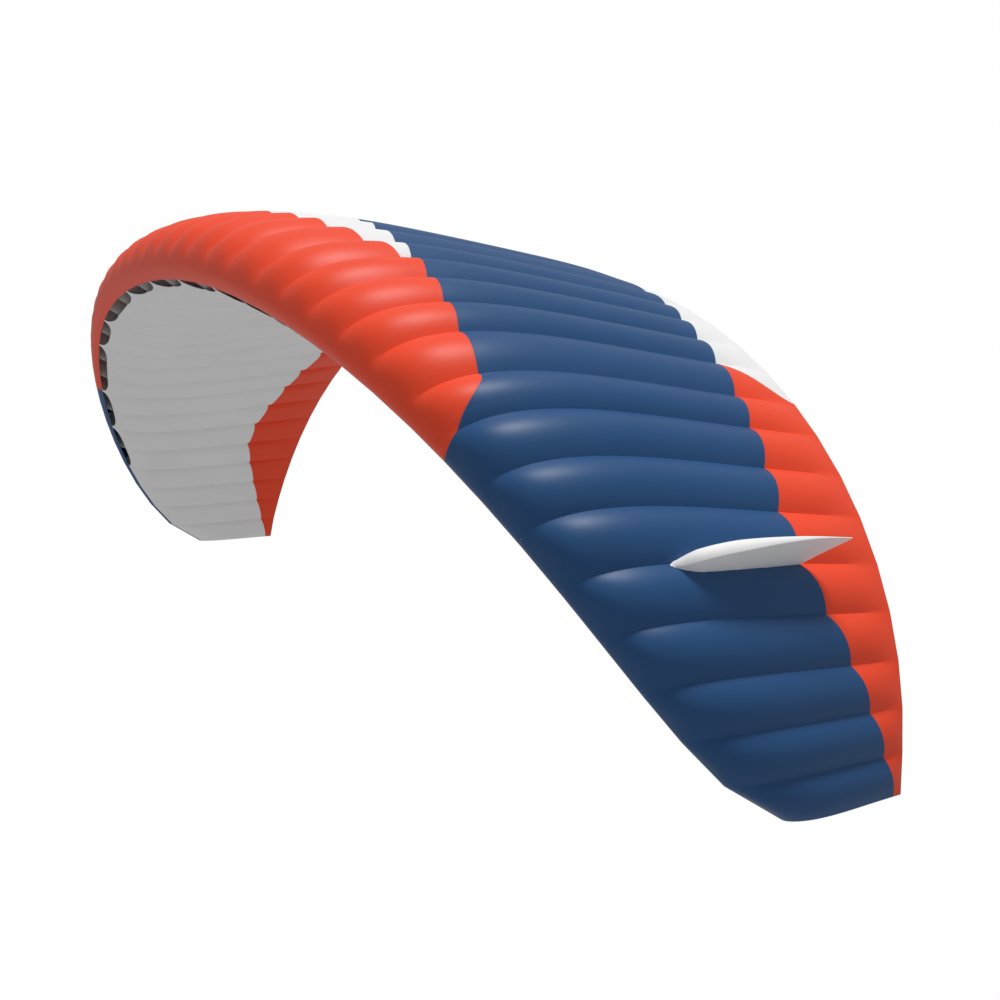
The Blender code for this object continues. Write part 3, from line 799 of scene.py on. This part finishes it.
make_panels("bottom_tail_red_panel", ("bottom_tail_red_left", "bottom_tail_red_right"),
            (LOWER_TURN + POINT_TRIM, TIP), (lower_tail, lower_rear_seam), RED_ZONE_ROWS,
            RED_CLOTH)


# Winglets. A winglet is a small pocket of white cloth, filled with air, that is sewn to the upper
# sail over a rib near each tip. It has a broad rounded front that is swept far back, and two flat
# sides that meet it in a sewn crease and run together at the rear.

WINGLET_RIB = 14
WINGLET_COLUMNS = ("fraction", "foot", "crease", "crown", "aside", "foot_half", "crease_half")
WINGLET_ROWS = (
    # chord fraction; heights of the foot, crease and crown; place sideways; half widths of the two
    (0.252, -0.030, -0.006, -0.005, 0.008, 0.003, 0.002),
    (0.264, -0.030, 0.016, 0.020, 0.010, 0.018, 0.014),
    (0.276, -0.030, 0.037, 0.043, 0.012, 0.026, 0.021),
    (0.290, -0.030, 0.064, 0.072, 0.013, 0.033, 0.026),
    (0.307, -0.030, 0.090, 0.099, 0.014, 0.039, 0.030),
    (0.330, -0.030, 0.114, 0.123, 0.014, 0.044, 0.031),
    (0.366, -0.030, 0.141, 0.149, 0.013, 0.047, 0.031),
    (0.420, -0.030, 0.171, 0.178, 0.011, 0.044, 0.030),
    (0.476, -0.030, 0.194, 0.200, 0.009, 0.038, 0.025),
    (0.550, -0.030, 0.221, 0.225, 0.007, 0.028, 0.017),
    (0.620, -0.030, 0.239, 0.241, 0.005, 0.017, 0.010),
    (0.672, -0.030, 0.245, 0.247, 0.003, 0.009, 0.006),
    (0.730, 0.100, 0.246, 0.247, 0.001, 0.004, 0.003),
    (0.788, 0.236, 0.246, 0.247, 0.000, 0.002, 0.002),
)
WINGLET_LIFT = 0.0004
WINGLET_LENGTHS = 72
WINGLET_SIDE_STEPS = 8
WINGLET_FACE_STEPS = 10
WINGLET_BELLY = 0.003
WINGLET_BELLY_WIDTH = 0.05
WINGLET_LEAN = 0.17
WINGLET_FRONT_CROWDING = 1.3
WINGLET_MERGE = 0.0002
WINGLET_SHARP = 32.0
# Painted light: the winglet is the same white cloth as the sails, but its colour is set brighter (0.97
# against 0.90) so that its lit front looks brighter than the light alone makes it.
WINGLET_PAINTED_LIGHT_CLOTH = cloth_material(
    "winglet_cloth", colour=(0.970, 0.970, 0.970), roughness=0.55, specular=0.12)


def smooth_rows(fraction):
    """Values of a winglet station, on a curve that runs smoothly through the rows."""
    table = np.array(WINGLET_ROWS)
    marks = table[:, 0]
    index = int(np.clip(np.searchsorted(marks, fraction, side="right") - 1, 0, len(marks) - 2))
    slopes = np.gradient(table, marks, axis=0)
    gap = marks[index + 1] - marks[index]
    t = (fraction - marks[index]) / gap
    from_start = (2 * t ** 3 - 3 * t ** 2 + 1) * table[index]
    to_end = (3 * t ** 2 - 2 * t ** 3) * table[index + 1]
    leaving = (t ** 3 - 2 * t ** 2 + t) * gap * slopes[index]
    arriving = (t ** 3 - t ** 2) * gap * slopes[index + 1]
    return dict(zip(WINGLET_COLUMNS, from_start + leaving + to_end + arriving))


def winglet_ring(row):
    """Sideways place and height round one station: up the outer side, over the front and down.

    The front leans so that it faces inboard a little.
    """
    ring = []
    tall = max(row["crease"] - row["foot"], 0.0)
    full = WINGLET_BELLY * min(row["foot_half"] / WINGLET_BELLY_WIDTH, 1.0)
    for step in range(WINGLET_SIDE_STEPS):
        share = step / WINGLET_SIDE_STEPS
        straight = row["foot_half"] + share * (row["crease_half"] - row["foot_half"])
        ring.append((straight + full * math.sin(math.pi * share), row["foot"] + share * tall))
    for step in range(WINGLET_FACE_STEPS + 1):
        turn = 1.0 - 2.0 * step / WINGLET_FACE_STEPS
        across = row["crease_half"] * turn
        crowned = row["crease"] + (row["crown"] - row["crease"]) * (1.0 - turn ** 2)
        ring.append((across, crowned + WINGLET_LEAN * across))
    ring += [(-across, height) for across, height in reversed(ring[:WINGLET_SIDE_STEPS])]
    return [(row["aside"] + across, height) for across, height in ring]


def winglet_spot(fraction, sideways, height):
    """A winglet's point, lifted to the sail where it would lie under it."""
    roll = FRAMES[WINGLET_RIB]["roll"]
    outboard = Vector((math.cos(roll), 0.0, -math.sin(roll)))
    upward = Vector((math.sin(roll), 0.0, math.cos(roll)))
    aft, outward = rib_outline(WINGLET_RIB, math.sqrt(fraction))
    spot = rib_place(WINGLET_RIB, aft, outward + height) - HANG_POINT + outboard * sideways
    place = WINGLET_RIB + sideways / cell_width(WINGLET_RIB if sideways > 0 else WINGLET_RIB - 1)
    gap = (spot - sail_point(place, math.sqrt(fraction), WINGLET_LIFT)).dot(upward)
    return spot - upward * min(gap, 0.0)


def winglet_mesh(side):
    """Wrap a grid round the stations, close its rims and note that it has no stitched edge."""
    builder = bmesh.new()
    cloth = builder.loops.layers.uv.new("Cloth")
    edge_gap = builder.verts.layers.float.new("edge_gap")
    around = 2 * WINGLET_SIDE_STEPS + WINGLET_FACE_STEPS
    bmesh.ops.create_grid(builder, x_segments=WINGLET_LENGTHS, y_segments=around, size=1.0)
    first, last = WINGLET_ROWS[0][0], WINGLET_ROWS[-1][0]
    flat = {}
    for vertex in builder.verts:
        backward = ((vertex.co.x + 1.0) / 2.0) ** WINGLET_FRONT_CROWDING
        fraction = first + (last - first) * backward
        station = round((vertex.co.y + 1.0) / 2.0 * around)
        sideways, height = winglet_ring(smooth_rows(fraction))[station]
        vertex.co = winglet_spot(fraction, sideways, height)
        flat[vertex] = (vertex.co.y, sideways + height)
        vertex.co.x *= side
        vertex[edge_gap] = 1.0
    spread_cloth(builder, cloth, flat)
    bmesh.ops.remove_doubles(builder, verts=builder.verts, dist=WINGLET_MERGE)
    rims = [edge for edge in builder.edges if edge.is_boundary]
    bmesh.ops.holes_fill(builder, edges=rims)
    bmesh.ops.recalc_face_normals(builder, faces=builder.faces)
    return builder


for side, word in ((1, "left"), (-1, "right")):
    builder = winglet_mesh(side)
    name = f"winglet_pocket_{word}"
    mesh = bpy.data.meshes.new(name)
    builder.to_mesh(mesh)
    builder.free()
    mesh.materials.append(WINGLET_PAINTED_LIGHT_CLOTH)
    mesh.shade_smooth()
    mesh.set_sharp_from_angle(angle=math.radians(WINGLET_SHARP))
    piece = bpy.data.objects.new(name, mesh)
    bpy.context.scene.collection.objects.link(piece)
    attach(piece, "root")
    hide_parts(f"winglet_{word}")
